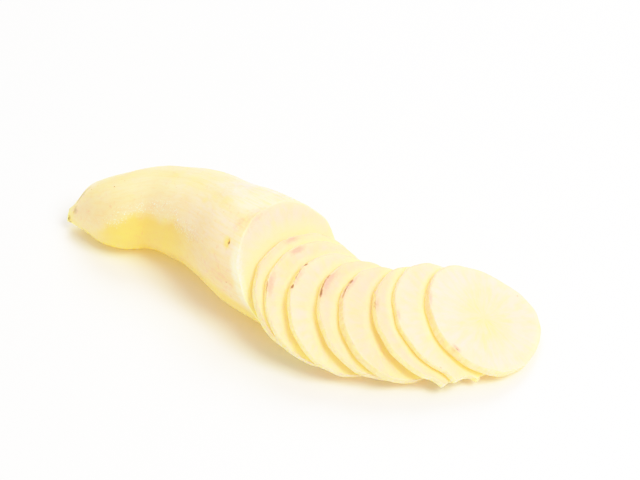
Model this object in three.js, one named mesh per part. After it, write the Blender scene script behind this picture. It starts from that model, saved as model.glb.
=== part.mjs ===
// A peeled yacon root, lying on its side. Its thick end has been cut into eight round slices, which still lean
// back on the cut end and on each other in a fan, like books on a shelf.
//
// Millimetres, +Z up, +X from the trimmed tip towards the last slice. The origin is under the middle of the
// object, on the surface that it lies on.
//
// root_body   the uncut length: a loft of rings along a bent spine, flattened where it rests
// slice_1..8  thin discs with the root's own uneven outline, each let down until it touches the one before
import * as THREE from "three";

// ---- Driving sizes ----
const cutRadius = 27.8; // of the root where it is cut across
const touchGap = 0.4; // left between pieces that touch
const bodyRings = 46; // along the root
const bodySides = 48; // round the root
const sliceSides = 60;
const restDepth = 0.7; // how much of the underside is flattened by lying on it

// The root's shape, from the trimmed tip to the cut: where each ring stands, half its width and height, how far
// its underside is off the surface, and which way it faces (turn to the right of +X, lean back from upright).
const stations = [
  { x: -117.3, y: 8.5, halfWidth: 3, halfHeight: 3.2, lift: 4.8, turn: -5, lean: -15 },
  { x: -112.5, y: 7.5, halfWidth: 6.8, halfHeight: 5.9, lift: 4, turn: -3, lean: 0 },
  { x: -107, y: 6.5, halfWidth: 11.5, halfHeight: 11.1, lift: 1.5, turn: 0, lean: 0 },
  { x: -100, y: 3, halfWidth: 15.4, halfHeight: 14.5, lift: 0.3, turn: 0, lean: 0 },
  { x: -89, y: 1, halfWidth: 18.3, halfHeight: 17.4, lift: -restDepth, turn: 3, lean: 0 },
  { x: -75, y: 1.5, halfWidth: 19.9, halfHeight: 18.9, lift: -restDepth, turn: 10, lean: 0 },
  { x: -61.5, y: -5, halfWidth: 21.7, halfHeight: 20.9, lift: -restDepth, turn: 22, lean: 2 },
  { x: -51, y: -11, halfWidth: 23.2, halfHeight: 22.1, lift: -restDepth, turn: 38, lean: 6 },
  { x: -38, y: -24.5, halfWidth: 24.9, halfHeight: 24.2, lift: -restDepth, turn: 46, lean: 14 },
  { x: -26.5, y: -37.5, halfWidth: 27.3, halfHeight: 27.6, lift: -restDepth / 2, turn: 46, lean: 24 },
  { x: -12, y: -49, halfWidth: cutRadius, halfHeight: 29.2, lift: 0.2, turn: 44, lean: 32 },
];

// The slices, from the cut end outwards. lean is back from upright, turn is to the right of +X, drift is how far
// the foot has slipped sideways, and spin is how far the slice has rolled in its own plane.
const slices = [
  { radius: 27.6, thickness: 3.6, lean: 50.5, turn: 45.5, drift: -2.5, spin: -28, uneven: 0.9 },
  { radius: 27.9, thickness: 2.6, lean: 50.5, turn: 44, drift: 0.5, spin: -24, uneven: 0.8 },
  { radius: 27.1, thickness: 2.8, lean: 51, turn: 37.5, drift: 3.5, spin: -20, uneven: 0.3 },
  { radius: 26.6, thickness: 2.8, lean: 54, turn: 31.5, drift: 7, spin: -12, uneven: 0.3 },
  { radius: 26, thickness: 4, lean: 55.5, turn: 28.5, drift: 3, spin: -8, uneven: 0.3 },
  { radius: 27.4, thickness: 2.9, lean: 59, turn: 21, drift: 9.5, spin: -18, uneven: 0.5 },
  { radius: 27.9, thickness: 2.3, lean: 59.5, turn: 19, drift: 6, spin: -10, uneven: 0.7 },
  { radius: 27, thickness: 4.1, lean: 63, turn: 18, drift: 6.5, spin: 0, uneven: 1 },
];

// The slow waves of the root's outline: how many to a turn, how deep as a share of the radius, and where one peaks.
const outlineWaves = [
  { count: 2, depth: 0.02, peak: 124 },
  { count: 3, depth: 0.04, peak: 70 },
  { count: 4, depth: 0.017, peak: 50 },
];
// Each stroke of the peeler leaves a strip a little flatter than the round root.
const peelStrokes = 11;
const strokeFlatness = 0.35; // 0 is round, 1 is a flat-sided prism

const fleshColour = 0xf6e6b4;
const cutColour = 0xfbf0cf;

const { degToRad } = THREE.MathUtils;

// ---- Outline of a cross-section ----

// The share of the radius at an angle, for an outline that is uneven by a share of the waves above.
function outlineShare(angle, uneven, spin) {
  let share = 1;
  for (const wave of outlineWaves) {
    share += uneven * wave.depth * Math.cos(wave.count * (angle - degToRad(wave.peak + spin)));
  }
  const strokeWidth = (2 * Math.PI) / peelStrokes;
  const turned = angle - degToRad(spin);
  const fromMiddle = turned - Math.round(turned / strokeWidth) * strokeWidth;
  const flatSide = Math.cos(strokeWidth / 4) / Math.cos(fromMiddle);
  return share * (1 + strokeFlatness * (flatSide - 1));
}

// ---- Placing ----

// The directions of a plane that faces turn degrees right of +X and leans back from upright by lean degrees.
function facing(turn, lean) {
  const heading = -degToRad(turn);
  const rise = degToRad(lean);
  const normal = new THREE.Vector3(
    Math.cos(rise) * Math.cos(heading),
    Math.cos(rise) * Math.sin(heading),
    Math.sin(rise),
  );
  const across = new THREE.Vector3(-Math.sin(heading), Math.cos(heading), 0);
  const upward = new THREE.Vector3().crossVectors(normal, across);
  return { normal, across, upward };
}

// A point of a plane, along its two directions from a centre.
function onPlane(centre, plane, across, upward) {
  return centre.clone().addScaledVector(plane.across, across).addScaledVector(plane.upward, upward);
}

// The outline of a disc's face as points.
function faceOutline(disc, centre, sides = sliceSides) {
  const points = [];
  for (let i = 0; i < sides; i += 1) {
    const angle = (2 * Math.PI * i) / sides;
    const r = disc.radius * outlineShare(angle, disc.uneven, disc.spin);
    points.push(onPlane(centre, disc.plane, r * Math.cos(angle), r * Math.sin(angle)));
  }
  return points;
}

// How far in front of a face the nearest of some points is, counting only those that lie over the face.
function nearestOver(face, centre, points, side) {
  let nearest = Infinity;
  for (const point of points) {
    const offset = point.clone().sub(centre);
    const x = offset.dot(face.plane.across);
    const y = offset.dot(face.plane.upward);
    const reach = face.radius * outlineShare(Math.atan2(y, x), face.uneven, face.spin);
    if (Math.hypot(x, y) < reach) nearest = Math.min(nearest, side * offset.dot(face.plane.normal));
  }
  return nearest;
}

// The gap between the front of one disc and the back of the next.
function gapBetween(previous, next) {
  const nextBack = faceOutline(next, next.backCentre, 3 * sliceSides);
  const previousFront = faceOutline(previous, previous.frontCentre, 3 * sliceSides);
  return Math.min(
    nearestOver(previous, previous.frontCentre, nextBack, 1),
    nearestOver(next, next.backCentre, previousFront, -1),
  );
}

// Sets a disc on the surface with its foot at a place.
function standAt(disc, foot) {
  const centre = onPlane(foot, disc.plane, 0, disc.radius);
  const lowest = Math.min(...faceOutline(disc, centre).map((point) => point.z));
  disc.backCentre = centre.clone();
  disc.backCentre.z -= lowest;
  disc.frontCentre = disc.backCentre.clone().addScaledVector(disc.plane.normal, disc.thickness);
  disc.foot = foot;
}

// Moves a disc out from the one before until it only just touches it, where it leans.
function leanOn(previous, disc) {
  const sideways = disc.plane.across.clone().multiplyScalar(disc.drift);
  const outwards = new THREE.Vector3(disc.plane.normal.x, disc.plane.normal.y, 0).normalize();
  let near = 0;
  let far = 2 * cutRadius;
  while (far - near > 0.001) {
    const step = (near + far) / 2;
    standAt(disc, previous.foot.clone().add(sideways).addScaledVector(outwards, step));
    if (gapBetween(previous, disc) < touchGap) near = step;
    else far = step;
  }
}

// ---- Meshes ----

function meshFrom(name, positions, triangles, colour) {
  const geometry = new THREE.BufferGeometry();
  geometry.setAttribute("position", new THREE.Float32BufferAttribute(positions, 3));
  geometry.setIndex(triangles);
  geometry.computeVertexNormals();
  const material = new THREE.MeshStandardMaterial({ color: colour, roughness: 0.45, metalness: 0 });
  const mesh = new THREE.Mesh(geometry, material);
  mesh.name = name;
  return mesh;
}

// A closed solid through rings of points, with a flat fan over each end.
function loft(name, rings, colour) {
  const sides = rings[0].length;
  const positions = [];
  const triangles = [];
  for (const ring of rings) {
    for (const point of ring) positions.push(point.x, point.y, point.z);
  }
  for (let r = 0; r < rings.length - 1; r += 1) {
    for (let s = 0; s < sides; s += 1) {
      const a = r * sides + s;
      const b = r * sides + ((s + 1) % sides);
      triangles.push(a, b, b + sides, a, b + sides, a + sides);
    }
  }
  const ends = [rings[0], rings[rings.length - 1]];
  ends.forEach((ring, end) => {
    const middle = new THREE.Vector3();
    for (const point of ring) middle.addScaledVector(point, 1 / sides);
    const hub = positions.length / 3;
    positions.push(middle.x, middle.y, middle.z);
    const first = end === 0 ? 0 : (rings.length - 1) * sides;
    for (let s = 0; s < sides; s += 1) {
      const a = first + s;
      const b = first + ((s + 1) % sides);
      if (end === 0) triangles.push(hub, b, a);
      else triangles.push(hub, a, b);
    }
  });
  return meshFrom(name, positions, triangles, colour);
}

// One measure of the stations, read smoothly at a place from 0 at the tip to 1 at the cut.
function smoothly(measure, place) {
  const points = stations.map((station, i) => new THREE.Vector2(i, station[measure]));
  return new THREE.SplineCurve(points).getPoint(place).y;
}

// The cut face as a disc, for the first slice to lean on.
function cutFace() {
  const end = stations[stations.length - 1];
  const plane = facing(end.turn, end.lean);
  const disc = { radius: cutRadius, thickness: 0, uneven: 0.4, spin: -30, plane };
  const foot = new THREE.Vector3(end.x, end.y, 0).addScaledVector(plane.upward, -cutRadius);
  foot.z = 0;
  standAt(disc, foot);
  return disc;
}

function rootBody() {
  const rings = [];
  for (let r = 0; r < bodyRings; r += 1) {
    const place = r / (bodyRings - 1);
    const at = (measure) => smoothly(measure, place);
    const plane = facing(at("turn"), at("lean"));
    const height = at("lift") + at("halfHeight") * Math.abs(plane.upward.z);
    const centre = new THREE.Vector3(at("x"), at("y"), height);
    const ring = [];
    for (let s = 0; s < bodySides; s += 1) {
      const angle = (2 * Math.PI * s) / bodySides;
      const share = outlineShare(angle, 0.4 * place, -30);
      const across = at("halfWidth") * share * Math.cos(angle);
      const upward = at("halfHeight") * share * Math.sin(angle);
      const point = onPlane(centre, plane, across, upward);
      point.z = Math.max(point.z, 0);
      ring.push(point);
    }
    rings.push(ring);
  }
  return loft("root_body", rings, fleshColour);
}

const object = new THREE.Group();
object.add(rootBody());

let previous = cutFace();
slices.forEach((slice, i) => {
  const disc = { ...slice, plane: facing(slice.turn, slice.lean) };
  leanOn(previous, disc);
  const rings = [faceOutline(disc, disc.backCentre), faceOutline(disc, disc.frontCentre)];
  object.add(loft(`slice_${i + 1}`, rings, cutColour));
  previous = disc;
});

// The origin goes under the middle of the whole object, on the surface that it lies on.
const bounds = new THREE.Box3().setFromObject(object);
const middle = bounds.getCenter(new THREE.Vector3());
object.position.set(-middle.x, -middle.y, -bounds.min.z);

export default object;
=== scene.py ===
import math

import bpy
import numpy as np
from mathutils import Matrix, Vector, noise
from mathutils.bvhtree import BVHTree


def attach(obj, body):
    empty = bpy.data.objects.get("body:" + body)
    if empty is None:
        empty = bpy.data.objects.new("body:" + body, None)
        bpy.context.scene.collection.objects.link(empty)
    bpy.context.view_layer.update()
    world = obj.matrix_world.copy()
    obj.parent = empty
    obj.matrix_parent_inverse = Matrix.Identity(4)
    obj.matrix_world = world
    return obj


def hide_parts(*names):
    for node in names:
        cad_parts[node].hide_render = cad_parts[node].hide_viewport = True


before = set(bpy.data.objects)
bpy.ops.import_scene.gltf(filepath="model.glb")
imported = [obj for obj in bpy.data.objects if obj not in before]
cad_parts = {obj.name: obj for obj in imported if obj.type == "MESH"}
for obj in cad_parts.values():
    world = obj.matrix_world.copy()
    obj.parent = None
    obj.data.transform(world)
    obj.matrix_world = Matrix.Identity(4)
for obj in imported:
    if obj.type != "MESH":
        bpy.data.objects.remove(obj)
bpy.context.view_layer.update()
mm = 0.001


def linear(hexColour):
    # sRGB hex to the linear values that shader sockets take
    channels = [int(hexColour[i : i + 2], 16) / 255 for i in (0, 2, 4)]
    return [c / 12.92 if c <= 0.04045 else ((c + 0.055) / 1.055) ** 2.4 for c in channels] + [1]


def addNode(tree, kind, inputs=None, **settings):
    # a colour Mix takes its factor on socket 0 and its two colours on 6 and 7
    node = tree.nodes.new("ShaderNode" + kind)
    for name, value in settings.items():
        setattr(node, name, value)
    for socket, value in (inputs or {}).items():
        if isinstance(value, bpy.types.NodeSocket):
            tree.links.new(value, node.inputs[socket])
        else:
            node.inputs[socket].default_value = value
    return node


def smoothStep(low, high, x):
    t = np.clip((x - low) / (high - low), 0, 1)
    return t * t * (3 - 2 * t)


def hump(x, width):
    # 1 in the middle, 0 from width outwards, with no kink
    return np.clip(1 - (x / width) ** 2, 0, 1) ** 2


def lumps(points, size, seed):
    # gentle random height from -1 to 1 at each point, in lumps of about that many mm
    shift = Vector((seed * 17.3, seed * 5.9, seed * 11.1))
    return np.array([noise.noise(Vector(p) / size + shift) for p in points])


def angleBetween(a, b):
    return (a - b + math.pi) % (2 * math.pi) - math.pi


def smoothly(points, places):
    # a smooth curve through evenly spaced points, read at places from 0 to 1
    points = np.array(points, float)
    padded = np.vstack([2 * points[0] - points[1], points, 2 * points[-1] - points[-2]])
    t = np.clip(places, 0, 1) * (len(points) - 1)
    i = np.minimum(t.astype(int), len(points) - 2)
    f = (t - i)[:, None]
    a, b, c, d = padded[i], padded[i + 1], padded[i + 2], padded[i + 3]
    return 0.5 * (2 * b + (c - a) * f + (2 * a - 5 * b + 4 * c - d) * f**2 + (3 * b - a - 3 * c + d) * f**3)


def closedSkin(count, sides):
    # faces over rows of points, each row once round, with a single point before the first and after the last
    faces = [(0, 1 + s, 1 + (s + 1) % sides) for s in range(sides)]
    for row in range(count - 1):
        start = 1 + row * sides
        for s in range(sides):
            after = (s + 1) % sides
            faces.append((start + s, start + sides + s, start + sides + after, start + after))
    last, end = 1 + (count - 1) * sides, 1 + count * sides
    faces += [(end, last + (s + 1) % sides, last + s) for s in range(sides)]
    return faces


def makePiece(name, points, faces, materials, materialOf, fields, node):
    mesh = bpy.data.meshes.new(name)
    mesh.from_pydata((points * mm).tolist(), [], faces)
    for material in materials:
        mesh.materials.append(material)
    mesh.polygons.foreach_set("material_index", np.array(materialOf, np.int32))
    mesh.polygons.foreach_set("use_smooth", np.ones(len(faces), bool))
    for field, values in fields.items():
        kind, key = ("FLOAT_VECTOR", "vector") if values.ndim == 2 else ("FLOAT", "value")
        attribute = mesh.attributes.new(field, kind, "POINT")
        attribute.data.foreach_set(key, values.astype(np.float32).ravel())
    mesh.update()
    piece = bpy.data.objects.new(name, mesh)
    bpy.context.scene.collection.objects.link(piece)
    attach(piece, "root")
    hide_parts(node)


def solidOf(node):
    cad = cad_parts[node].data
    return BVHTree.FromPolygons([v.co / mm for v in cad.vertices], [p.vertices for p in cad.polygons])


# Where another piece or the floor closes in on the flesh, its colour is painted a deeper yellow as shade.
paintedShadeLook = {
    "onFloor": 0.5,  # mm above it that still counts as touching
    "touching": 0.2,  # mm from a neighbour
    "rays": 8,  # sent out from each point, leaning round the way the face looks
    "lean": 0.9,
    "raysReach": 40,  # mm
    "closedFrom": 0.1,  # share of the rays that meet the neighbour
    "closedFull": 0.7,
    "closedShare": 0.9,
}


def nearFloor(points, reach):
    return 1 - smoothStep(paintedShadeLook["onFloor"], reach, points[:, 2])


def paintedShadeAt(points, outward, node, reach):
    # how much painted shade a point gets: 1 where a neighbouring piece all but touches it, or closes off the
    # view from it, and 0 in the open
    look = paintedShadeLook
    solid = solidOf(node)
    side = np.cross(outward, [0.0, 0.0, 1.0])
    side /= np.linalg.norm(side)
    other = np.cross(outward, side)
    swings = np.radians(np.arange(look["rays"]) * 360 / look["rays"])
    rays = [Vector(outward + look["lean"] * (math.cos(s) * side + math.sin(s) * other)) for s in swings]
    gap = np.full(len(points), 1e3)
    closed = np.zeros(len(points))
    for i, point in enumerate(points):
        start = Vector(point)
        hit = solid.find_nearest(start, reach)
        if hit[0]:
            gap[i] = hit[3]
        closed[i] = sum(bool(solid.ray_cast(start, ray, look["raysReach"])[0]) for ray in rays) / len(rays)
    closedOff = look["closedShare"] * smoothStep(look["closedFrom"], look["closedFull"], closed)
    return np.maximum(1 - smoothStep(look["touching"], reach, gap), closedOff)


# Yacon flesh bared by a peeler: smooth, wet and glassy, so light sinks in and comes out yellow, most of all
# where the flesh is turned away from the light, where its colour also holds painted shade. It is pinker
# towards the thick end, and skin that the peeler missed leaves pink and brown.
peeledLook = {
    "thinEnd": "ffe0bb",
    "thickEnd": "ffddc8",
    "turnsAt": (50, 105),  # mm along the root
    "rims": "fbe0cc",  # of the slices, which lie past the cut
    "rimsFrom": (127.6, 130),
    # partly the flesh's own deeper yellow and partly painted shade, where it is turned away from the light
    "deepFleshAndShade": "fed66c",
    "fibreTint": "ffd6a4",
    # painted shade, where another piece or the floor closes in
    "paintedShadeTint": "ecd640",
    "paleFleshAndHighlight": "fff0e6",
    # painted glints: pale dots on the wettest cells
    "paintedGlints": "fffdf2",
    "pinkSkin": "e0aca0",
    "brownSkin": "6f4426",
    "greenFibre": "bca85a",
    "patchSize": 16,  # mm
    "patchEdge": (0.4, 0.7),  # of the pattern's own strength
    "patchShare": 0.6,
    "fibreWidth": 1.1,  # mm, drawn broader than the real 0.3 mm so that it shows
    "fibreLength": 34,
    "fibreEdge": (0.45, 0.65),
    "fibreShare": 0.55,
    "fibreRelief": (0.35, 0.12),  # strength, and depth in mm
    "grainRelief": (0.4, 0.25),
    "cellSize": 0.9,  # mm, the wet pits of opened cells, also drawn coarse
    "cellDepth": 0.3,
    "cellStrength": (0.3, 1.0),  # of the pits, from merely damp to the wettest
    "glintEdge": (0.12, 0.36),  # cell widths from the middle of a painted glint
    "roughness": 0.42,
    "roughSpread": 0.1,
    "filmRoughness": (0.22, 0.06),  # of the film of juice, again from damp to wettest
    "filmShare": (0.4, 1.0),
    "ior": 1.37,  # watery flesh
    "scatter": 16,  # mm that red light wanders inside
    "scatterShares": [1.0, 0.92, 0.1],  # blue sinks in least, so what comes out is yellow
    # painted glow: emitted warm light
    "paintedGlow": "f6e068",
    "paintedGlowShare": 0.09,
    "paintedGlowInShade": 0.1,
}

# Yacon flesh cut across by a knife: paler and a little matt, with faint rays from the middle, a slightly
# glassier ring under the rim, and opened cells that catch the light as fine grain.
cutLook = {
    "flesh": "ffd9ca",
    "middle": "fbda96",
    "ring": "ffdabd",
    # painted shade, where the next slice or the floor closes in
    "paintedShadeTint": "f6e2b2",
    "underside": "eeeaa4",
    # painted shade, darkening each face by its share
    "sliceShadeTint": "ecede6",
    "paleFleshAndHighlight": "fff0ea",
    "pinkSkin": "dfb0a2",
    "brownSkin": "8a5542",
    "patchSize": 11,  # mm
    "middleReach": (3, 19),  # mm from the middle, where its yellow starts to fade and where it has faded
    "middleShare": (0.9, 0.15),
    "ringReach": (0.3, 3.2),  # mm from the rim
    "ringShare": 0.8,
    "rayCount": 17,
    "rayEdge": (0.4, 0.68),
    "rayShare": 0.7,
    "rayRelief": (0.4, 0.15),  # strength, and depth in mm
    "dragSpacing": 14,  # mm between the marks of the knife's drag
    "dragRelief": (0.25, 0.1),
    "cellSize": 0.6,
    "cellRelief": (0.35, 0.08),
    "roughness": 0.55,
    "roughSpread": 0.12,
    "ior": 1.37,
    "scatter": 4,
    "scatterShares": [1.0, 0.95, 0.3],
    # painted glow: emitted warm light
    "paintedGlow": "f4ea88",
    "paintedGlowShare": 0.09,
    "paintedGlowInShade": 0.08,
}

# How a mark on the flesh spreads: from what strength it shows, where it is full, and how much it covers.
markLook = {
    "paleFleshAndHighlight": (0.7, 1.6, 0.9),
    "greenFibre": (0.6, 1.3, 0.9),
    "pinkSkin": (0.6, 1.5, 0.8),
    "brownSkin": (0.8, 1.35, 0.95),
}


def addMarks(tree, look, grain, colour):
    # each mark has a ragged edge, where it meets the grain of the flesh
    for field, (shows, full, covers) in markLook.items():
        if field not in look:
            continue
        mark = addNode(tree, "Attribute", attribute_name=field)
        edge = addNode(tree, "Math", {0: mark.outputs["Fac"], 1: grain}, operation="ADD")
        amount = addNode(tree, "MapRange", {0: edge.outputs[0], 1: shows, 2: full, 4: covers})
        mixed = {0: amount.outputs[0], 6: colour, 7: linear(look[field])}
        colour = addNode(tree, "Mix", mixed, data_type="RGBA").outputs[2]
    return colour


def finishFlesh(material, shader, look):
    tree = material.node_tree
    shader.inputs["IOR"].default_value = look["ior"]
    shader.inputs["Subsurface Weight"].default_value = 1
    shader.inputs["Subsurface Radius"].default_value = look["scatterShares"]
    shader.inputs["Subsurface Scale"].default_value = look["scatter"] * mm
    # a faint painted glow: the flesh emits warm light, standing in for the light that thin, watery flesh
    # passes on, most of it where pieces meet
    shader.inputs["Emission Color"].default_value = linear(look["paintedGlow"])
    paintedShade = addNode(tree, "Attribute", attribute_name="paintedShade").outputs["Fac"]
    glow = {0: paintedShade, 1: look["paintedGlowInShade"], 2: look["paintedGlowShare"]}
    strength = addNode(tree, "Math", glow, operation="MULTIPLY_ADD").outputs[0]
    tree.links.new(strength, shader.inputs["Emission Strength"])
    material.cycles.emission_sampling = "NONE"  # too faint to be worth the time of a lamp


def makePeeledFlesh(look):
    material = bpy.data.materials.new("peeledYaconFlesh")
    material.use_nodes = True
    tree = material.node_tree
    shader = tree.nodes["Principled BSDF"]
    place = addNode(tree, "Attribute", attribute_name="rootPlace").outputs["Vector"]
    deepAndShade = addNode(tree, "Attribute", attribute_name="deepFleshAndShade").outputs["Fac"]

    # fibres run the length of the root
    stretch = [1 / look["fibreLength"], 1 / look["fibreWidth"], 1 / look["fibreWidth"]]
    fibrePlace = addNode(tree, "VectorMath", {0: place, 1: stretch}, operation="MULTIPLY").outputs[0]
    fibres = addNode(tree, "TexNoise", {"Vector": fibrePlace, "Scale": 1.0, "Detail": 4.0, "Roughness": 0.6})
    patches = addNode(tree, "TexNoise", {"Vector": place, "Scale": 1 / look["patchSize"], "Detail": 3.0})
    cells = addNode(tree, "TexVoronoi", {"Vector": place, "Scale": 1 / look["cellSize"]})
    grain = addNode(tree, "TexNoise", {"Vector": place, "Scale": 0.5 / look["cellSize"], "Detail": 4.0})

    # where each tint goes, and how strongly
    along = addNode(tree, "SeparateXYZ", {0: place}).outputs[0]
    thinTo, thickFrom = look["turnsAt"]
    turned = addNode(tree, "MapRange", {0: along, 1: thinTo, 2: thickFrom}).outputs[0]
    rimFrom, rimTo = look["rimsFrom"]
    onRim = addNode(tree, "MapRange", {0: along, 1: rimFrom, 2: rimTo}).outputs[0]
    patchFrom, patchTo = look["patchEdge"]
    blotches = {0: patches.outputs[0], 1: patchFrom, 2: patchTo, 4: look["patchShare"]}
    blotched = addNode(tree, "MapRange", blotches).outputs[0]
    fibreFrom, fibreTo = look["fibreEdge"]
    streaks = {0: fibres.outputs[0], 1: fibreFrom, 2: fibreTo, 4: look["fibreShare"]}
    streaked = addNode(tree, "MapRange", streaks).outputs[0]
    fibred = addNode(tree, "Math", {0: blotched, 1: streaked}, operation="ADD").outputs[0]
    # painted shade: the flesh is painted yellower where a piece comes close to another or to the floor
    paintedShade = addNode(tree, "Attribute", attribute_name="paintedShade").outputs["Fac"]
    # the wettest band glitters under a mirror-like film, and pale dots painted on its opened cells are
    # painted glints
    wet = addNode(tree, "Attribute", attribute_name="wet").outputs["Fac"]
    glintIn, glintOut = look["glintEdge"]
    glintShape = {0: cells.outputs[0], 1: glintIn, 2: glintOut, 3: 1.0, 4: 0.0}
    glintAt = addNode(tree, "MapRange", glintShape).outputs[0]
    glintMask = addNode(tree, "Math", {0: glintAt, 1: wet}, operation="MULTIPLY").outputs[0]

    # the flesh is pinker towards the thick end, and the tints lie over it one by one, among them painted
    # shade and painted glints
    ends = {0: turned, 6: linear(look["thinEnd"]), 7: linear(look["thickEnd"])}
    colour = addNode(tree, "Mix", ends, data_type="RGBA").outputs[2]
    for amount, tint in (
        (onRim, "rims"),
        (fibred, "fibreTint"),
        (deepAndShade, "deepFleshAndShade"),
        (paintedShade, "paintedShadeTint"),
        (glintMask, "paintedGlints"),
    ):
        mixed = {0: amount, 6: colour, 7: linear(look[tint])}
        colour = addNode(tree, "Mix", mixed, data_type="RGBA").outputs[2]
    colour = addMarks(tree, look, grain.outputs[0], colour)
    tree.links.new(colour, shader.inputs["Base Color"])

    rough, spread = look["roughness"], look["roughSpread"]
    gloss = addNode(tree, "MapRange", {0: cells.outputs[0], 2: 0.8, 3: rough - spread, 4: rough + spread})
    tree.links.new(gloss.outputs[0], shader.inputs["Roughness"])
    relief = {}
    for height, (strength, depth) in ((fibres, look["fibreRelief"]), (grain, look["grainRelief"])):
        relief |= {"Height": height.outputs[0], "Strength": strength, "Distance": depth * mm}
        relief["Normal"] = addNode(tree, "Bump", relief).outputs[0]
    tree.links.new(relief["Normal"], shader.inputs["Normal"])

    # only the film of juice follows the pits of the cells
    pitted, filmed, filmRough = (
        addNode(tree, "MapRange", {0: wet, 3: look[damp][0], 4: look[damp][1]}).outputs[0]
        for damp in ("cellStrength", "filmShare", "filmRoughness")
    )
    relief |= {"Height": cells.outputs[0], "Strength": pitted, "Distance": look["cellDepth"] * mm}
    cellBump = addNode(tree, "Bump", relief).outputs[0]
    tree.links.new(cellBump, shader.inputs["Coat Normal"])
    tree.links.new(filmed, shader.inputs["Coat Weight"])
    tree.links.new(filmRough, shader.inputs["Coat Roughness"])
    shader.inputs["Coat IOR"].default_value = 1.33  # water
    finishFlesh(material, shader, look)
    return material


def makeCutFlesh(look):
    material = bpy.data.materials.new("knifeCutYaconFlesh")
    material.use_nodes = True
    tree = material.node_tree
    shader = tree.nodes["Principled BSDF"]
    place = addNode(tree, "Attribute", attribute_name="cutPlace").outputs["Vector"]
    fromRim = addNode(tree, "Attribute", attribute_name="fromRim").outputs["Fac"]

    # rays: a direction from the middle has nearly the same value at any distance, and each slice has its own
    flat = addNode(tree, "VectorMath", {0: place, 1: [1, 1, 0]}, operation="MULTIPLY").outputs[0]
    direction = addNode(tree, "VectorMath", {0: flat}, operation="NORMALIZE").outputs[0]
    distance = addNode(tree, "VectorMath", {0: flat}, operation="LENGTH").outputs["Value"]
    depth = addNode(tree, "VectorMath", {0: place, 1: [0.02, 0.02, 0.6]}, operation="MULTIPLY").outputs[0]
    rayPlace = addNode(tree, "VectorMath", {0: direction, 1: depth}, operation="ADD").outputs[0]
    rayScale = look["rayCount"] / math.pi
    rays = addNode(tree, "TexNoise", {"Vector": rayPlace, "Scale": rayScale, "Detail": 3.0})
    rays.inputs["Roughness"].default_value = 0.55
    patches = addNode(tree, "TexNoise", {"Vector": place, "Scale": 1 / look["patchSize"], "Detail": 3.0})
    cells = addNode(tree, "TexVoronoi", {"Vector": place, "Scale": 1 / look["cellSize"]})
    grain = addNode(tree, "TexNoise", {"Vector": place, "Scale": 0.5 / look["cellSize"], "Detail": 4.0})
    drag = addNode(tree, "TexWave", {"Vector": place, "Distortion": 3.0, "Detail": 2.0, "Detail Scale": 0.4})
    drag.inputs["Scale"].default_value = 1 / look["dragSpacing"]

    # yellow in the middle and out along the rays, a ring under the rim, juice on the back, each face
    # darkened by a painted shade of its own, and painted shade where the next slice or the floor closes in
    rayFrom, rayTo = look["rayEdge"]
    rayed = {0: rays.outputs[0], 1: rayFrom, 2: rayTo, 4: look["rayShare"]}
    onRay = addNode(tree, "MapRange", rayed).outputs[0]
    fadeFrom, fadeTo = look["middleReach"]
    fullShare, fadedShare = look["middleShare"]
    faded = {0: distance, 1: fadeFrom, 2: fadeTo, 3: fullShare, 4: fadedShare}
    inMiddle = addNode(tree, "MapRange", faded).outputs[0]
    either = addNode(tree, "Math", {0: onRay, 1: inMiddle}, operation="ADD").outputs[0]
    yellow = addNode(tree, "Math", {0: either, 1: patches.outputs[0]}, operation="MULTIPLY").outputs[0]
    ringFrom, ringTo = look["ringReach"]
    ringed = {0: fromRim, 1: ringFrom, 2: ringTo, 3: look["ringShare"], 4: 0.0}
    inRing = addNode(tree, "MapRange", ringed).outputs[0]
    under = addNode(tree, "Attribute", attribute_name="underside").outputs["Fac"]
    sliceShade = addNode(tree, "Attribute", attribute_name="sliceShade").outputs["Fac"]
    paintedShade = addNode(tree, "Attribute", attribute_name="paintedShade").outputs["Fac"]
    colour = linear(look["flesh"])
    for amount, tint, blend in (
        (yellow, "middle", "MIX"),
        (inRing, "ring", "MIX"),
        (under, "underside", "MIX"),
        (sliceShade, "sliceShadeTint", "MULTIPLY"),
        (paintedShade, "paintedShadeTint", "MIX"),
    ):
        mixed = {0: amount, 6: colour, 7: linear(look[tint])}
        colour = addNode(tree, "Mix", mixed, data_type="RGBA", blend_type=blend).outputs[2]
    colour = addMarks(tree, look, grain.outputs[0], colour)
    tree.links.new(colour, shader.inputs["Base Color"])

    rough, spread = look["roughness"], look["roughSpread"]
    gloss = addNode(tree, "MapRange", {0: cells.outputs[0], 2: 0.8, 3: rough - spread, 4: rough + spread})
    tree.links.new(gloss.outputs[0], shader.inputs["Roughness"])
    relief = {}
    for height, (strength, depth) in (
        (rays.outputs[0], look["rayRelief"]),
        (drag.outputs["Fac"], look["dragRelief"]),
        (cells.outputs[0], look["cellRelief"]),
    ):
        relief |= {"Height": height, "Strength": strength, "Distance": depth * mm}
        relief["Normal"] = addNode(tree, "Bump", relief).outputs[0]
    tree.links.new(relief["Normal"], shader.inputs["Normal"])
    finishFlesh(material, shader, look)
    return material


peeledFlesh = makePeeledFlesh(peeledLook)
cutFlesh = makeCutFlesh(cutLook)
print("materials made")


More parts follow.
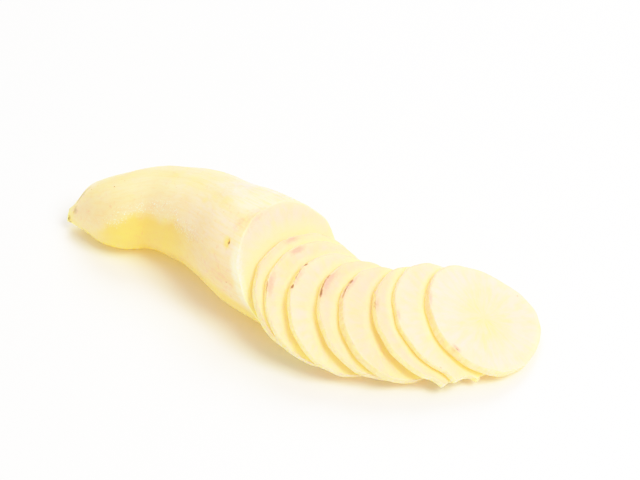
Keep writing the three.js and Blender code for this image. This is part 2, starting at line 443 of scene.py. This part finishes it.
rootLook = {
    # where the middle of the root runs, x, y, z in mm, and which way it faces there: turned right of +X and
    # leaning back, in degrees
    "spine": [
        (-105.8, 48.5, 8.0, -5, -15),
        (-101.0, 47.5, 9.9, -3, 0),
        (-95.5, 46.5, 12.6, 0, 0),
        (-88.5, 43.0, 14.8, 0, 0),
        (-77.5, 41.0, 16.7, 3, 0),
        (-63.5, 41.5, 18.2, 10, 0),
        (-50.0, 35.0, 20.2, 22, 2),
        (-39.5, 29.0, 21.3, 38, 6),
        (-26.5, 15.5, 23.0, 46, 14),
        (-15.0, 2.5, 24.9, 46, 24),
        (-0.5, -9.0, 25.0, 44, 32),
    ],
    "ringSpacing": 0.46,
    "sides": 304,
    "inset": 0.35,
    "lipRound": 0.5,  # the knife leaves the cut's edge nearly sharp
    "faceRows": 40,
    "floorReach": 12,
    "nipReach": 11,
    "strokes": 13,  # of the peeler, round the root
    "strokeBands": 3,  # and along it
    "strokeHalf": (24, 34),  # mm, half its length
    "strokeShift": 8,  # mm along, either way
    "strokeTurn": 0.1,  # radians that it drifts round over that half
    "strokeLift": 60,  # past its ends it rises by the square of the distance over this
    "strokeDepth": 0.35,
    "strokeShare": 0.5,
    "seed": 7,
    # mm across, mm high and seed of the gentle swellings of the flesh
    "swellings": [(22, 0.35, 1), (7, 0.08, 2)],
    "tipRough": 0.45,
    "tipRoughTo": (2, 12),  # mm along
    "tipUneven": 0.4,
    "tipRounds": 0.5,
    # where a peeler stroke ended in a crease: mm along and degrees round; the flesh below it is painted a
    # deeper yellow, partly its own colour and partly painted shade
    "crease": [(0, 185), (18, 172), (27, 153), (37, 146), (57, 148), (85, 148), (106, 150), (130, 165)],
    "creaseHigh": 0.22,
    "creaseWidth": 1.6,
    "scoopDeep": 0.45,
    "scoopWidth": 6,
    "scoopFrom": (14, 22),  # mm along
    "scoopTo": (75, 110),
    "yellowFrom": (3, 30),
    "yellowTo": (68, 112),
    "yellowEdge": (-1.8, 4.8),  # mm past the crease
    "yellowEnds": (40, 60),
    "yellowShare": 0.9,
    "yellowPastEnd": 0.2,  # share left beyond yellowTo
    # flesh low on the side is painted yellow too, as painted shade coloured by the light that comes up from
    # below
    "lowFrom": (11, 19),
    "lowEnds": (45, 65),
    "lowAlong": (10, 30),
    "lowShare": 0.85,
    "waver": 1.2,  # mm that these edges wander
    # a shallow valley along the top, painted yellow as shade in the groove
    "valley": [(0, 96), (14, 94), (30, 83), (43, 83), (68, 96), (108, 108), (130, 112)],
    "valleyDeep": 0.15,
    "valleyWidth": 3.5,
    "valleyYellow": 0.22,
    "valleyYellowWidth": 5.5,
    # the wettest flesh, where the last strokes met, and where glints are painted
    "wetLine": [(16, 170), (28, 152), (40, 143), (59, 137), (70, 142), (81, 151), (101, 150), (112, 148)],
    "wetWidth": 5.5,
    "wetFrom": (16, 32),
    "wetTo": (92, 108),
    # mm along, degrees round, reach along, reach round, depth
    "dents": [
        (119.8, 135, 1.2, 2.2, 1.0),  # the eye of a lost rootlet
        (119.6, 145, 0.9, 5.0, 0.18),
    ],
    # field, mm along, degrees round, reach along, reach round, strength
    "marks": [
        ("brownSkin", 119.8, 135, 0.9, 1.7, 1.0),
        ("deepFleshAndShade", 119.4, 136, 3.0, 4.0, 0.8),
        ("brownSkin", 27.4, 99, 0.6, 0.6, 0.9),
        ("brownSkin", 109.9, 114, 0.6, 0.6, 0.9),
        ("brownSkin", 31.8, 90, 0.5, 0.5, 0.8),
        ("brownSkin", 62.6, 110, 0.5, 0.5, 0.8),
        ("brownSkin", 118.7, 172, 0.6, 0.6, 0.8),
        # the trimmed tip
        ("greenFibre", 4.4, 122, 2.4, 3.4, 0.65),
        ("greenFibre", 9.0, 82, 7.0, 2.2, 0.8),
        ("greenFibre", 0.3, 175, 1.8, 2.8, 1.0),
        ("brownSkin", 0.2, 172, 0.9, 1.4, 0.8),
        ("brownSkin", 1.6, 200, 1.4, 1.6, 0.8),
        ("brownSkin", 14.8, 92, 0.7, 0.9, 0.75),
        # pink left near the cut
        ("pinkSkin", 126.0, 102, 4.5, 13.0, 0.55),
        ("pinkSkin", 122.5, 116, 5.0, 6.0, 0.42),
        ("pinkSkin", 113.0, 168, 14.0, 13.0, 0.22),
        # a painted highlight beside the lip of the cut, and paler and yellower blotches on the back
        ("paleFleshAndHighlight", 125.5, 160, 4.5, 26.0, 0.9),
        ("paleFleshAndHighlight", 101.0, 84, 12.0, 6.0, 0.5),
        ("deepFleshAndShade", 104.0, 104, 10.0, 6.0, 0.4),
        ("deepFleshAndShade", 57.0, 88, 5.0, 3.0, 0.4),
        ("deepFleshAndShade", 89.0, 113, 4.0, 3.0, 0.4),
        ("deepFleshAndShade", 92.0, 102, 3.5, 3.0, 0.35),
    ],
}


def facing(turn, lean):
    # the way a slice of root faces, and the two directions across it
    heading, rise = -np.radians(turn), np.radians(lean)
    normal = np.stack([np.cos(rise) * np.cos(heading), np.cos(rise) * np.sin(heading), np.sin(rise)], -1)
    across = np.stack([-np.sin(heading), np.cos(heading), 0 * heading], -1)
    return normal, across, np.cross(normal, across)


def blur(grid, along, around):
    # softens a grid of heights over a few rows and columns, round the root, keeping its slope at the ends
    def kernel(reach):
        steps = np.arange(-3 * reach, 3 * reach + 1)
        weights = np.exp(-0.5 * (steps / reach) ** 2)
        return steps, weights / weights.sum()

    steps, weights = kernel(around)
    soft = sum(w * np.roll(grid, k, 1) for k, w in zip(steps, weights))
    steps, weights = kernel(along)
    far, rows = steps[-1], len(grid)
    before = 2 * soft[0] - soft[far:0:-1]
    after = 2 * soft[-1] - soft[-2 : -far - 2 : -1]
    padded = np.vstack([before, soft, after])
    return sum(w * padded[far + k : far + k + rows] for k, w in zip(steps, weights))


def readRoot(look):
    # evenly spaced places along the spine
    dense = smoothly(look["spine"], np.linspace(0, 1, 2000))
    steps = np.linalg.norm(np.diff(dense[:, :3], axis=0), axis=1)
    travelled = np.concatenate([[0], np.cumsum(steps)])
    rings = int(travelled[-1] / look["ringSpacing"])
    along = np.linspace(0, travelled[-1], rings)
    spine = smoothly(look["spine"], np.interp(along, travelled, np.linspace(0, 1, 2000)))
    centres = spine[:, :3]
    normals, across, upward = facing(spine[:, 3], spine[:, 4])
    angles = np.linspace(0, 2 * math.pi, look["sides"], endpoint=False)
    outwards = np.cos(angles)[:, None] * across[:, None] + np.sin(angles)[:, None] * upward[:, None]
    # how far the solid reaches from the spine, every way round
    solid = solidOf("root_body")
    reach = np.full(outwards.shape[:2], np.nan)
    for ring in range(rings):
        # the first and last rings look from just inside the solid
        shift = max(look["inset"] - along[ring], 0) - max(look["inset"] - along[-1] + along[ring], 0)
        start = Vector(centres[ring] + normals[ring] * shift)
        for side in range(look["sides"]):
            hit = solid.ray_cast(start, Vector(outwards[ring, side]))
            if hit[0]:
                reach[ring, side] = hit[3]
    missed = np.isnan(reach)
    reach[missed] = np.nanmedian(reach, axis=1)[np.nonzero(missed)[0]]
    print("root read from the solid:", reach.shape, "missed", int(missed.sum()))
    return along, angles, centres, normals, outwards, reach


def peelStrokes(look, along, angles, radius):
    # Each stroke of the peeler is a long, nearly flat strip, and the strips meet in low ridges.
    rng = np.random.default_rng(look["seed"])
    flat = np.full_like(radius, 1e3)
    for band in range(look["strokeBands"]):
        for k in range(look["strokes"]):
            around = 2 * math.pi * (k + 0.5 * band + rng.uniform(-0.2, 0.2)) / look["strokes"]
            shift, turn = look["strokeShift"], look["strokeTurn"]
            at = (band + 0.5) / look["strokeBands"] * along[-1] + rng.uniform(-shift, shift)
            half = rng.uniform(*look["strokeHalf"])
            depth = look["strokeDepth"] * rng.uniform(0.7, 1.3)
            line = around + rng.uniform(-turn, turn) * (along - at) / half
            column = np.round(line / (2 * math.pi) * len(angles)).astype(int) % len(angles)
            lifted = np.maximum(np.abs(along - at) - half, 0) ** 2 / look["strokeLift"]
            level = radius[np.arange(len(along)), column] - depth + lifted
            swing = angleBetween(angles[None, :], line[:, None])
            flat = np.minimum(flat, level[:, None] / np.maximum(np.cos(swing), 0.3))
    return blur(flat, 2, 3) - radius


def lineRound(line, along, angles, radius):
    # mm round the root from a line that runs along it, positive past it
    at, degrees = zip(*line)
    return angleBetween(angles[None, :], np.radians(np.interp(along, at, degrees))[:, None]) * radius


def spotOn(along, angles, radius, at, degrees, reachAlong, reachRound):
    acrossSpot = angleBetween(angles[None, :], math.radians(degrees)) * radius / reachRound
    return hump(np.hypot((along[:, None] - at) / reachAlong, acrossSpot), 1)


def makeRoot(look):
    along, angles, centres, normals, outwards, reach = readRoot(look)
    rings, sides = reach.shape
    radius = blur(reach, 4, 5)
    radius = radius + look["strokeShare"] * peelStrokes(look, along, angles, radius)

    # the crease, its scoop, the valley along the top and the eye of a lost rootlet
    past = lineRound(look["crease"], along, angles, radius)
    scooped = smoothStep(*look["scoopFrom"], along) * (1 - smoothStep(*look["scoopTo"], along))
    radius += look["creaseHigh"] * (np.exp(-((past / look["creaseWidth"]) ** 2)) * scooped[:, None])
    radius -= look["scoopDeep"] * (hump(past - look["scoopWidth"], look["scoopWidth"]) * scooped[:, None])
    fromValley = lineRound(look["valley"], along, angles, radius)
    radius -= look["valleyDeep"] * hump(fromValley, look["valleyWidth"])
    for at, degrees, reachAlong, reachRound, depth in look["dents"]:
        radius -= depth * spotOn(along, angles, radius, at, degrees, reachAlong, reachRound)

    points = (centres[:, None] + outwards * radius[..., None]).reshape(-1, 3)
    swell = sum(lumps(points, size, seed) * high for size, high, seed in look["swellings"])
    radius = radius + swell.reshape(radius.shape)
    # the trimmed tip is rough and fibrous
    nearTip = 1 - smoothStep(*look["tipRoughTo"], along)
    rough = lumps(points * [0.5, 1, 1], 1.6, 8).reshape(radius.shape) * nearTip[:, None]
    radius = radius + look["tipRough"] * rough

    # rows from the middle of the cut, ever closer out to its lip, down the side to the tip and in over it
    lip, cutRadius, tipRadius = look["lipRound"], radius[-1], radius[0]
    rows, rowAlong, rowRadius = [], [], []

    def addRow(ring, reachOut, back):
        rows.append(centres[ring] + outwards[ring] * reachOut[:, None] - normals[ring] * back)
        rowAlong.append(along[ring] - back)
        rowRadius.append(reachOut)

    for share in 1 - (1 - np.linspace(0, 1, look["faceRows"] + 1)[1:]) ** 1.4:
        addRow(-1, (cutRadius - lip) * share, 0)
    for turn in np.radians([22.5, 45, 67.5]):
        addRow(-1, cutRadius - lip + lip * math.sin(turn), lip - lip * math.cos(turn))
    cutRows = len(rows) - 1
    for ring in range(rings - 2, -1, -1):
        addRow(ring, radius[ring], 0)
    for share in np.linspace(1, 0, 10)[1:-1]:
        addRow(0, tipRadius * share, -look["tipRounds"] * (1 - share**2))
    tip = centres[0] - normals[0] * look["tipRounds"]
    points = np.vstack([centres[-1], np.array(rows).reshape(-1, 3), tip])
    tipNoise = lumps(points, 1.5, 9) * (1 - smoothStep(0, 4, np.linalg.norm(points - centres[0], axis=1)))
    points = points - normals[0] * (look["tipUneven"] * tipNoise)[:, None]
    points[:, 2] = np.maximum(points[:, 2], 0.05)  # clear of the floor

    count = len(rows)
    faces = closedSkin(count, sides)
    materialOf = np.zeros(len(faces), np.int32)
    materialOf[: sides * (cutRows + 1)] = 1

    rowAlong = np.array(rowAlong)
    rowRadius = np.array(rowRadius)
    fields = {mark[0]: np.zeros(len(points)) for mark in look["marks"]}
    place = np.zeros((len(points), 3))
    bigRadius = np.maximum(rowRadius.mean(1), 1)
    place[1:-1, 0] = np.repeat(rowAlong, sides)
    place[1:-1, 1] = (np.cos(angles) * bigRadius[:, None]).ravel()
    place[1:-1, 2] = (np.sin(angles) * bigRadius[:, None]).ravel()
    place[0, 0], place[-1, 0] = along[-1], 0
    fields["rootPlace"] = place
    cutAxes = np.stack([outwards[-1][0], outwards[-1][sides // 4], normals[-1]], -1)
    fields["cutPlace"] = (points - centres[-1]) @ cutAxes
    x, y, _ = fields["cutPlace"].T
    rim = np.interp(np.arctan2(y, x), angles, cutRadius, period=2 * math.pi)
    fields["fromRim"] = np.clip(rim - np.hypot(x, y), 0, None)

    # painted shade, partly the flesh's own deeper yellow: yellow below the crease, low on the side and along
    # the valley
    past = lineRound(look["crease"], rowAlong, angles, rowRadius)
    waver = look["waver"] * lumps(place[1:-1], 5, 6).reshape(past.shape)
    fades = 1 - (1 - look["yellowPastEnd"]) * smoothStep(*look["yellowTo"], rowAlong)
    zone = look["yellowShare"] * smoothStep(*look["yellowFrom"], rowAlong) * fades
    below = smoothStep(*look["yellowEdge"], past + waver) * (1 - smoothStep(*look["yellowEnds"], past))
    deepAndShade = below * zone[:, None]
    low = smoothStep(*look["lowFrom"], past + waver) * (1 - smoothStep(*look["lowEnds"], past))
    deepAndShade = np.maximum(deepAndShade, look["lowShare"] * low * smoothStep(*look["lowAlong"], rowAlong)[:, None])
    fromValley = lineRound(look["valley"], rowAlong, angles, rowRadius)
    deepAndShade = np.maximum(deepAndShade, look["valleyYellow"] * hump(fromValley + waver, look["valleyYellowWidth"]))
    fields["deepFleshAndShade"][1:-1] = deepAndShade.ravel()
    wetEnds = smoothStep(*look["wetFrom"], rowAlong) * (1 - smoothStep(*look["wetTo"], rowAlong))
    fromWet = lineRound(look["wetLine"], rowAlong, angles, rowRadius) + 2 * waver
    wetBand = hump(fromWet, look["wetWidth"]) * wetEnds[:, None]
    fields["wet"] = np.concatenate([[0], wetBand.ravel(), [0]])
    # marks don't run on over the face of the cut
    onCut = np.arange(count) <= cutRows
    nearLip = np.where(np.repeat(onCut, sides), hump(fields["fromRim"][1:-1], 5), 1)
    for field, at, degrees, reachAlong, reachRound, strength in look["marks"]:
        spot = strength * spotOn(rowAlong, angles, rowRadius, at, degrees, reachAlong, reachRound).ravel()
        fields[field][1:-1] = np.maximum(fields[field][1:-1], spot * nearLip)
    # painted shade near the floor and where the first slice closes in on the cut face
    fields["paintedShade"] = nearFloor(points, look["floorReach"])
    onCutFace = slice(0, 1 + (cutRows + 1) * sides)
    inNip = paintedShadeAt(points[onCutFace], normals[-1], "slice_1", look["nipReach"])
    fields["paintedShade"][onCutFace] = np.maximum(fields["paintedShade"][onCutFace], inNip)
    fleshes = [peeledFlesh, cutFlesh]
    makePiece("peeledRoot", points, faces, fleshes, materialOf, fields, "root_body")


makeRoot(rootLook)
print("peeled root made")


sliceLook = {
    "count": 8,
    "sides": 280,
    "faceRows": 26,
    "edgeRound": 0.22,  # a knife leaves a slice's edge nearly sharp
    "rimStep": 0.4,
    "rimBulge": 0.12,
    "rimUneven": 0.15,
    "waves": 15,  # harmonics kept of the solid's outline
    "warp": 0.18,  # mm that a slice bends
    "ripple": 0.05,  # mm that the knife wanders
    "rimPink": 0.42,
    "morePink": 0.5,  # added at the upper left
    "pinkSide": 88,  # degrees round
    "pinkSpread": 1.1,  # radians
    "facets": 17,  # flats left round the rim by the peeler
    "facetShare": 0.72,
    # mm along the root, for the grain of the rims
    "startsAlong": 132,
    "nextAlong": 12,
    "nipReach": 4.0,
    "floorReach": 7,
    "rimShadeShare": 0.55,  # share of the painted shade that shows on the very rim
    "innerFrom": (0.1, 0.6),  # mm in from the rim
    "sliceShadeShares": [0.4, 0.3, 0.15, 0.55, 0.45, 0.7, 0.2, 0],  # painted shade of each face, from its neighbouring slices, from the first slice cut to the last
    # slice: field, degrees round, mm in from the rim, reach round, reach inwards, strength
    "marks": {
        1: [("pinkSkin", 78, 1.0, 5.5, 1.8, 1.2), ("brownSkin", 45, 0, 4.0, 0.5, 0.8)],
        2: [
            ("pinkSkin", 82, 1.4, 6.5, 2.2, 1.3),
            ("pinkSkin", 128, 1.2, 9.0, 2.6, 1.1),
            ("brownSkin", 132, 0, 7.0, 0.5, 0.6),
        ],
        3: [
            ("brownSkin", 91, 0, 1.8, 1.0, 1.15),
            ("brownSkin", 118, 0, 1.8, 1.2, 1.15),
            ("brownSkin", 104, 0, 9.0, 0.4, 0.65),
            ("pinkSkin", 106, 0.6, 9.0, 1.8, 0.9),
        ],
        4: [
            ("brownSkin", 94, 0, 3.0, 0.8, 0.8),
            ("brownSkin", 114, 0, 3.8, 0.9, 0.95),
            ("brownSkin", 104, 0, 10.0, 0.5, 0.85),
            ("pinkSkin", 98, 0.8, 13.0, 3.0, 1.15),
        ],
        5: [
            ("brownSkin", 90, 0, 3.4, 0.9, 0.95),
            ("brownSkin", 101, 0, 8.0, 0.45, 0.75),
            ("pinkSkin", 92, 0.5, 13.0, 1.8, 0.95),
        ],
        6: [("brownSkin", 112, 0, 5.0, 0.5, 0.6), ("pinkSkin", 112, 0.6, 7.0, 2.2, 0.9)],
        7: [("pinkSkin", 124, 0.4, 4.5, 1.8, 1.0), ("brownSkin", 187, 0.3, 1.4, 0.6, 0.85)],
        8: [
            ("pinkSkin", 105, 0.4, 6.5, 1.8, 1.1),
            ("pinkSkin", 165, 0.8, 3.6, 1.8, 1.5),
            ("brownSkin", 166, 0.6, 2.2, 0.6, 0.55),
            ("brownSkin", 335, 2.4, 0.8, 2.0, 0.8),
            ("brownSkin", 199, 7.8, 0.5, 0.5, 0.8),
            ("brownSkin", 214, 9.0, 0.5, 0.5, 0.8),
        ],
    },
    # slice: degrees round, reach round, mm long
    "flaps": {6: [(214, 4.5, 2.8)], 7: [(203, 5.0, 3.0), (226, 3.0, 2.0)]},
}


def readSlice(name):
    # the solid's own centre, directions, outline and thickness, in mm
    points = np.array([v.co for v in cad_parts[name].data.vertices], float) / mm
    points = np.unique(points.round(3), axis=0)
    middle = (points.min(0) + points.max(0)) / 2
    for _ in range(3):
        _, _, axes = np.linalg.svd(points - middle)
        normal = axes[2] * np.sign(axes[2][2])
        depth = (points - middle) @ normal
        middle = middle + normal * (depth.max() + depth.min()) / 2
    across = np.cross([0, 0, 1], normal)
    across /= np.linalg.norm(across)
    upward = np.cross(normal, across)
    depth = (points - middle) @ normal
    x, y = (points - middle) @ across, (points - middle) @ upward
    rim = np.hypot(x, y) > 10
    middle = middle + across * (x[rim].max() + x[rim].min()) / 2 + upward * (y[rim].max() + y[rim].min()) / 2
    x, y = (points - middle) @ across, (points - middle) @ upward
    turn = np.arctan2(y, x)[rim]
    radius = np.hypot(x, y)[rim]
    waves = np.arange(1, sliceLook["waves"] + 1)

    def wavesAt(angle):
        angle = np.asarray(angle)[:, None]
        return np.hstack([np.ones((len(angle), 1)), np.cos(angle * waves), np.sin(angle * waves)])

    fit = np.linalg.lstsq(wavesAt(turn), radius, rcond=None)[0]
    return middle, across, upward, normal, lambda angle: wavesAt(angle) @ fit, depth.max() - depth.min()


def facetRound(look, number, outline, angles):
    # the outline with its curves cut to short flats
    rng = np.random.default_rng(number)
    count = look["facets"]
    turns = 2 * math.pi * (np.arange(count) + rng.uniform(-0.3, 0.3, count)) / count
    swing = angleBetween(angles[:, None], turns[None, :])
    flats = (outline(turns) / np.maximum(np.cos(swing), 0.5)).min(1)
    full = outline(angles)
    flats = full + look["facetShare"] * (np.minimum(flats, full + 0.1) - full - 0.1)
    return (flats + 0.5 * np.roll(flats, 1) + 0.5 * np.roll(flats, -1)) / 2


def makeSlice(number, look):
    middle, across, upward, normal, outline, thickness = readSlice(f"slice_{number}")
    sides = look["sides"]
    angles = np.linspace(0, 2 * math.pi, sides, endpoint=False)
    radius = facetRound(look, number, outline, angles)
    half, edge = thickness / 2, look["edgeRound"]

    # one row of the skin after another: out over the front face, over the rim, and in over the back
    rows = []

    def addRow(reachOut, height):
        level = np.full(sides, height)
        rows.append(np.stack([reachOut * np.cos(angles), reachOut * np.sin(angles), level], -1))

    shares = 1 - (1 - np.linspace(0, 1, look["faceRows"] + 1)[1:]) ** 1.5
    rimTurns = np.radians([22.5, 45, 67.5, 90])
    for share in shares:
        addRow((radius - edge) * share, half)
    for turn in rimTurns:
        addRow(radius - edge + edge * math.sin(turn), half - edge + edge * math.cos(turn))
    rimRows = max(3, round((thickness - 2 * edge) / look["rimStep"]))
    for height in np.linspace(half - edge, edge - half, rimRows + 1)[1:-1]:
        addRow(radius + look["rimBulge"] * (1 - (height / half) ** 2), height)
    for turn in rimTurns[::-1]:
        addRow(radius - edge + edge * math.sin(turn), edge - half - edge * math.cos(turn))
    for share in shares[::-1]:
        addRow((radius - edge) * share, -half)
    flat = np.vstack([[[0, 0, half]], np.array(rows).reshape(-1, 3), [[0, 0, -half]]])

    turnOf = np.arctan2(flat[:, 1], flat[:, 0]) % (2 * math.pi)
    fullRadius = np.interp(turnOf, angles, radius, period=2 * math.pi)
    reachOut = np.hypot(flat[:, 0], flat[:, 1])
    outwards = flat[:, :2] / np.maximum(reachOut, 1e-6)[:, None]
    nearRim = smoothStep(0.8, 1, reachOut / fullRadius)

    # the knife wanders a little, a thin slice bends a little, and each slice does so in its own way
    shaped = flat.copy()
    shaped[:, 2] += look["warp"] * lumps(flat * [1, 1, 0] + [0, 0, 40.0 * number], 30, 3)
    shaped[:, 2] += look["ripple"] * lumps(flat * [1, 0.25, 6] + [0, 0, 60.0 * number], 5, 4)
    rimPush = look["rimUneven"] * lumps(flat + [0, 0, 50.0 * number], 6, 5)
    shaped[:, :2] += outwards * (rimPush * nearRim)[:, None]
    points = middle + shaped[:, :1] * across + shaped[:, 1:2] * upward + shaped[:, 2:] * normal

    # torn flaps of flesh hang out past the bottom edge
    away = outwards[:, :1] * across + outwards[:, 1:] * upward
    for degrees, reachRound, length in look["flaps"].get(number, []):
        spread = np.abs(angleBetween(turnOf, math.radians(degrees))) * fullRadius / reachRound
        pull = length * np.clip(1 - spread, 0, 1) ** 1.4
        points += away * (pull * smoothStep(0.84, 1, reachOut / fullRadius))[:, None]
    points[:, 2] = np.maximum(points[:, 2], 0.03)  # clear of the floor

    count = len(rows)
    rowOf = np.repeat(np.arange(count + 1), sides)
    firstRim, lastRim = look["faceRows"] + 3, count - look["faceRows"] - 3
    materialOf = ((rowOf < firstRim) | (rowOf > lastRim)).astype(np.int32)
    fromRim = np.clip(fullRadius - reachOut, 0, None)
    fields = {"brownSkin": np.zeros(len(points))}
    # skin left under the peel tints the rim, more at the upper left
    upperLeft = hump(angleBetween(turnOf, math.radians(look["pinkSide"])), look["pinkSpread"])
    fields["pinkSkin"] = (look["rimPink"] + look["morePink"] * upperLeft) * hump(fromRim, 1.0)
    fields["cutPlace"] = shaped + [0, 0, 100.0 * number]  # far enough on for a pattern of its own
    startsAlong = look["startsAlong"] + look["nextAlong"] * number
    fields["rootPlace"] = np.stack([startsAlong - flat[:, 2], flat[:, 0], flat[:, 1]], -1)
    fields["fromRim"] = fromRim
    frontSide = smoothStep(-0.5 * half, 0.7 * half, flat[:, 2])
    for field, degrees, inward, reachRound, reachIn, strength in look["marks"].get(number, []):
        near = hump(angleBetween(turnOf, math.radians(degrees)) * fullRadius, reachRound) * frontSide
        fields[field] = np.maximum(fields[field], strength * near * hump(fromRim - inward, reachIn))
    # painted shade: each face darkened by its own share, for the shading by its neighbouring slices
    fields["sliceShade"] = np.full(len(points), look["sliceShadeShares"][number - 1])
    # juice runs down the backs
    fields["underside"] = smoothStep(half, -half, flat[:, 2])
    # painted shade near the floor, less of it on the very rim
    inner = smoothStep(*look["innerFrom"], fromRim)
    onFloor = look["rimShadeShare"] + (1 - look["rimShadeShare"]) * inner
    fields["paintedShade"] = nearFloor(points, look["floorReach"]) * onFloor
    if number < look["count"]:
        # painted shade where the next slice lies on this one's face
        onFace = slice(0, 1 + look["faceRows"] * sides)
        inNip = paintedShadeAt(points[onFace], normal, f"slice_{number + 1}", look["nipReach"])
        fields["paintedShade"][onFace] = np.maximum(fields["paintedShade"][onFace], inNip * inner[onFace])
    faces, fleshes = closedSkin(count, sides), [peeledFlesh, cutFlesh]
    makePiece(
        f"rootSlice{number}", points, faces, fleshes, materialOf, fields, f"slice_{number}"
    )


for number in range(1, sliceLook["count"] + 1):
    makeSlice(number, sliceLook)
print("slices made")


# A studio: white paper, a broad panel behind and above, a lamp in front and a pale room, in metres.
stageLook = {
    "floorSize": 6.0,
    "floor": "fafafa",
    "floorPatch": "fdfdfd",
    "softWhite": "fffefc",
    "skyStrength": 0.62,
    "lights": {
        "backPanel": {"at": (0.01, 0.94, 1.07), "size": 1.0, "power": 6.8},
        "frontLamp": {"at": (0.62, -0.57, 1.10), "size": 0.7, "power": 10.3},
    },
    "aim": (0.0115, 0.0400, 0.0),  # what the camera looks at
    "distance": 0.6977,
    "height": 40,  # degrees above the floor
    "lens": 84.4,
    # scene light and the tone it is shown as
    "tone": [(0.2, 0.2), (0.4, 0.4), (0.6, 0.6), (0.8, 0.8), (1.0, 0.93), (1.15, 0.985)],
    "whiteAt": 1.3,
}


def makeFloor(look):
    mesh = bpy.data.meshes.new("floor")
    s = look["floorSize"] / 2
    mesh.from_pydata([(-s, -s, 0), (s, -s, 0), (s, s, 0), (-s, s, 0)], [], [(0, 1, 2, 3)])
    floor = bpy.data.objects.new("floor", mesh)
    bpy.context.scene.collection.objects.link(floor)
    material = bpy.data.materials.new("matWhitePaper")
    material.use_nodes = True
    tree = material.node_tree
    shader = tree.nodes["Principled BSDF"]
    spot = addNode(tree, "TexCoord").outputs["Object"]
    tint = addNode(tree, "TexNoise", {"Vector": spot, "Scale": 3.0, "Detail": 2.0}).outputs[0]
    colours = {0: tint, 6: linear(look["floor"]), 7: linear(look["floorPatch"])}
    colour = addNode(tree, "Mix", colours, data_type="RGBA").outputs[2]
    tree.links.new(colour, shader.inputs["Base Color"])
    shader.inputs["Roughness"].default_value = 0.9
    shader.inputs["Specular IOR Level"].default_value = 0.1
    mesh.materials.append(material)


def makeLight(name, look, aim):
    data = bpy.data.lights.new(name, "AREA")
    data.shape = "DISK"
    data.size = look["size"]
    data.energy = look["power"]
    data.color = linear(stageLook["softWhite"])[:3]
    light = bpy.data.objects.new(name, data)
    light.location = look["at"]
    light.rotation_euler = (Vector(aim) - Vector(look["at"])).to_track_quat("-Z", "Y").to_euler()
    bpy.context.scene.collection.objects.link(light)


def makeCamera(look):
    data = bpy.data.cameras.new("camera")
    data.lens = look["lens"]
    data.sensor_width = 36
    data.clip_end = 50
    camera = bpy.data.objects.new("camera", data)
    rise = math.radians(look["height"])
    back = Vector((0, -math.cos(rise), math.sin(rise)))
    camera.location = Vector(look["aim"]) + back * look["distance"]
    camera.rotation_euler = (-back).to_track_quat("-Z", "Y").to_euler()
    bpy.context.scene.collection.objects.link(camera)
    bpy.context.scene.camera = camera


def softenHighlights(view, tone, whiteAt):
    # the brightest tones roll off gently to white, as on film
    view.use_curve_mapping = True
    curves = view.curve_mapping
    curves.white_level = (whiteAt,) * 3
    points = curves.curves[3].points
    for entered, shown in tone:
        points.new(entered / whiteAt, shown)
    curves.update()


makeFloor(stageLook)
for name, look in stageLook["lights"].items():
    makeLight(name, look, stageLook["aim"])
makeCamera(stageLook)
world = bpy.data.worlds.new("paleRoom")
world.use_nodes = True
world.node_tree.nodes["Background"].inputs["Color"].default_value = linear(stageLook["softWhite"])
world.node_tree.nodes["Background"].inputs["Strength"].default_value = stageLook["skyStrength"]
bpy.context.scene.world = world
bpy.context.scene.view_settings.view_transform = "Standard"
softenHighlights(bpy.context.scene.view_settings, stageLook["tone"], stageLook["whiteAt"])
bpy.context.scene.cycles.max_bounces = 48  # light goes from slice to slice many times before it is lost
bpy.context.scene.cycles.diffuse_bounces = 40
print("stage made")
